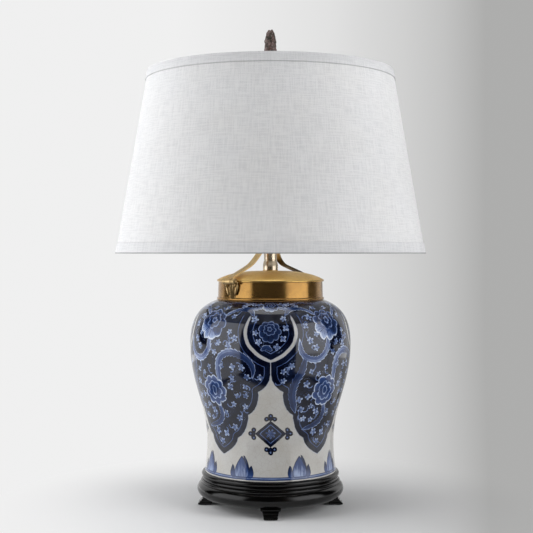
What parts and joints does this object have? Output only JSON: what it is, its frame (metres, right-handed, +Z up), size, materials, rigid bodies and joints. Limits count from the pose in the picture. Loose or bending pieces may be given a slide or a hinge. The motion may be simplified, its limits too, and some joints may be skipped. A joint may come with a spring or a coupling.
{
  "type": "table lamp",
  "caption": "Porcelain jar table lamp with a brass cap and strap handle, a footed wooden stand, a harp and a tapered linen shade.",
  "frame": {"origin": "on the table under the axis of the lamp", "axes": "+Z up along the lamp's axis, front of the lamp towards -Y"},
  "size_m": [0.4573, 0.4574, 0.705],
  "materials": {
    "black_lacquer": "black lacquer, semi-gloss, worn on the edges",
    "porcelain": "white glaze with underglaze cobalt painting and fine crackle",
    "polished_brass": "polished, lightly tarnished",
    "antique_brass": "dark antique finish, polished",
    "harp_brass": "brass plated wire and fittings",
    "steel": "zinc plated",
    "bakelite": "moulded phenolic",
    "porcelain_body": "moulded phenolic, matt",
    "insulating_board": "fibre sleeve",
    "screw_shell": "rolled thread",
    "felt": "pressed felt ring",
    "linen": "white linen weave, laminated",
    "lining": "white translucent sheet",
    "bulb_glass": "frosted",
    "bronze": "cast bronze, dark mottled patina"
  },
  "bodies": {
    "lamp": {"stand": "black_lacquer", "foot_1": "black_lacquer", "foot_2": "black_lacquer", "foot_3": "black_lacquer", "foot_4": "black_lacquer", "cord_bushing": "bakelite", "base_washer": "steel", "lock_washer": "steel", "rod_nut": "steel", "lamp_rod": "steel", "jar_gasket": "felt", "jar": "porcelain", "cap_disc": "steel", "cap_collar": "polished_brass", "cap_lid": "polished_brass", "lug_front": "polished_brass", "lug_back": "polished_brass", "lug_pin_front": "polished_brass", "lug_pin_back": "polished_brass", "strap_handle": "polished_brass", "neck_base": "antique_brass", "neck_tube": "antique_brass", "check_ring": "antique_brass", "harp_saddle": "harp_brass", "harp_bow": "harp_brass", "socket_cap": "harp_brass", "socket_shell": "harp_brass", "socket_sleeve": "insulating_board", "socket_interior": "porcelain_body", "socket_screw_shell": "screw_shell", "socket_contact": "harp_brass"},
    "switch": {"switch_shaft": "harp_brass", "switch_knob": "bakelite"},
    "ferrule_left": {"ferrule_left": "harp_brass"},
    "ferrule_right": {"ferrule_right": "harp_brass"},
    "bulb": {"bulb_contact": "harp_brass", "bulb_insulator": "bakelite", "bulb_cap": "screw_shell", "bulb_glass": "bulb_glass"},
    "stud": {"harp_stud": "harp_brass"},
    "shade": {"shade_cover": "linen", "shade_lining": "lining", "top_trim": "linen", "bottom_trim": "linen", "shade_top_ring": "steel", "shade_bottom_ring": "steel", "spider_hub": "steel", "spider_arms": "steel"},
    "finial": {"finial_base": "harp_brass", "finial": "bronze"}
  },
  "joints": [
    {"name": "switch_turn", "type": "hinge", "parent": "lamp", "child": "switch", "pos_m": [0, -0.0182, 0.4193], "axis": [0, -1, 0], "continuous": true},
    {"name": "ferrule_left_lift", "type": "slide", "parent": "lamp", "child": "ferrule_left", "axis": [0, 0, 1], "range_m": [0, 0.014]},
    {"name": "ferrule_right_lift", "type": "slide", "parent": "lamp", "child": "ferrule_right", "axis": [0, 0, 1], "range_m": [0, 0.014]},
    {"name": "bulb_turn", "type": "hinge", "parent": "lamp", "child": "bulb", "pos_m": [0, 0, 0.45], "axis": [0, 0, 1], "continuous": true},
    {"name": "shade_turn", "type": "hinge", "parent": "lamp", "child": "stud", "pos_m": [0, 0, 0.63], "axis": [0, 0, 1], "continuous": true},
    {"name": "shade_lift", "type": "slide", "parent": "stud", "child": "shade", "axis": [0, 0, 1], "range_m": [0, 0.3]},
    {"name": "finial_turn", "type": "hinge", "parent": "shade", "child": "finial", "pos_m": [0, 0, 0.64], "axis": [0, 0, 1], "continuous": true}
  ]
}
